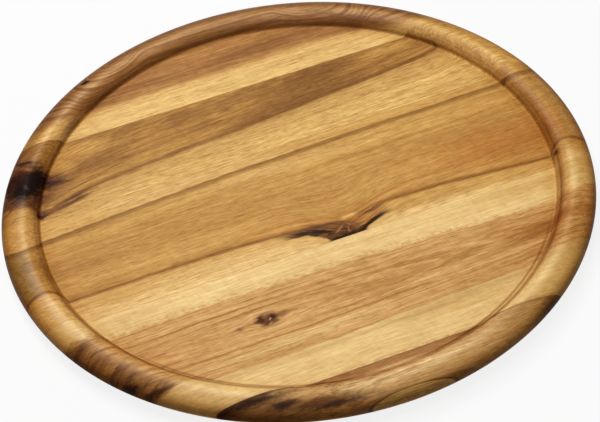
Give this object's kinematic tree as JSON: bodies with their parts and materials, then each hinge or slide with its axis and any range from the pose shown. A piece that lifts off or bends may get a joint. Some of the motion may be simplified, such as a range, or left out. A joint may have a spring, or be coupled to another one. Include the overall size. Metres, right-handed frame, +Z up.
{
  "type": "pizza serving board",
  "caption": "Round wooden serving board glued up from straight staves and turned to a flat sunk well inside a rounded raised rim.",
  "frame": {"origin": "centre of the flat underside, on the board's axis", "axes": "+Z up along the board's axis, from the underside to the rim; +X along the staves' grain; +Y across the staves, from the narrow front stave to the broad rear one"},
  "size_m": [0.32, 0.32, 0.015],
  "materials": {
    "rear_edge_stave": "oiled acacia, satin: brown heartwood with a pale sapwood band along its glue joint",
    "rear_stave": "oiled acacia, satin: brown heartwood over honey, with a large dark knot at one end",
    "centre_stave": "oiled acacia, satin: honey heartwood between pale sapwood bands, with a dark knot cut by its glue joint",
    "front_stave": "oiled acacia, satin: orange-brown heartwood with cathedral grain between pale sapwood bands",
    "front_edge_stave": "oiled acacia, satin: brown heartwood with dark burl figure",
    "front_sliver": "oiled acacia, satin: pale sapwood"
  },
  "bodies": {
    "root": {"rear_edge_stave": "rear_edge_stave", "rear_stave": "rear_stave", "centre_stave": "centre_stave", "front_stave": "front_stave", "front_edge_stave": "front_edge_stave", "front_sliver": "front_sliver"}
  },
  "joints": []
}
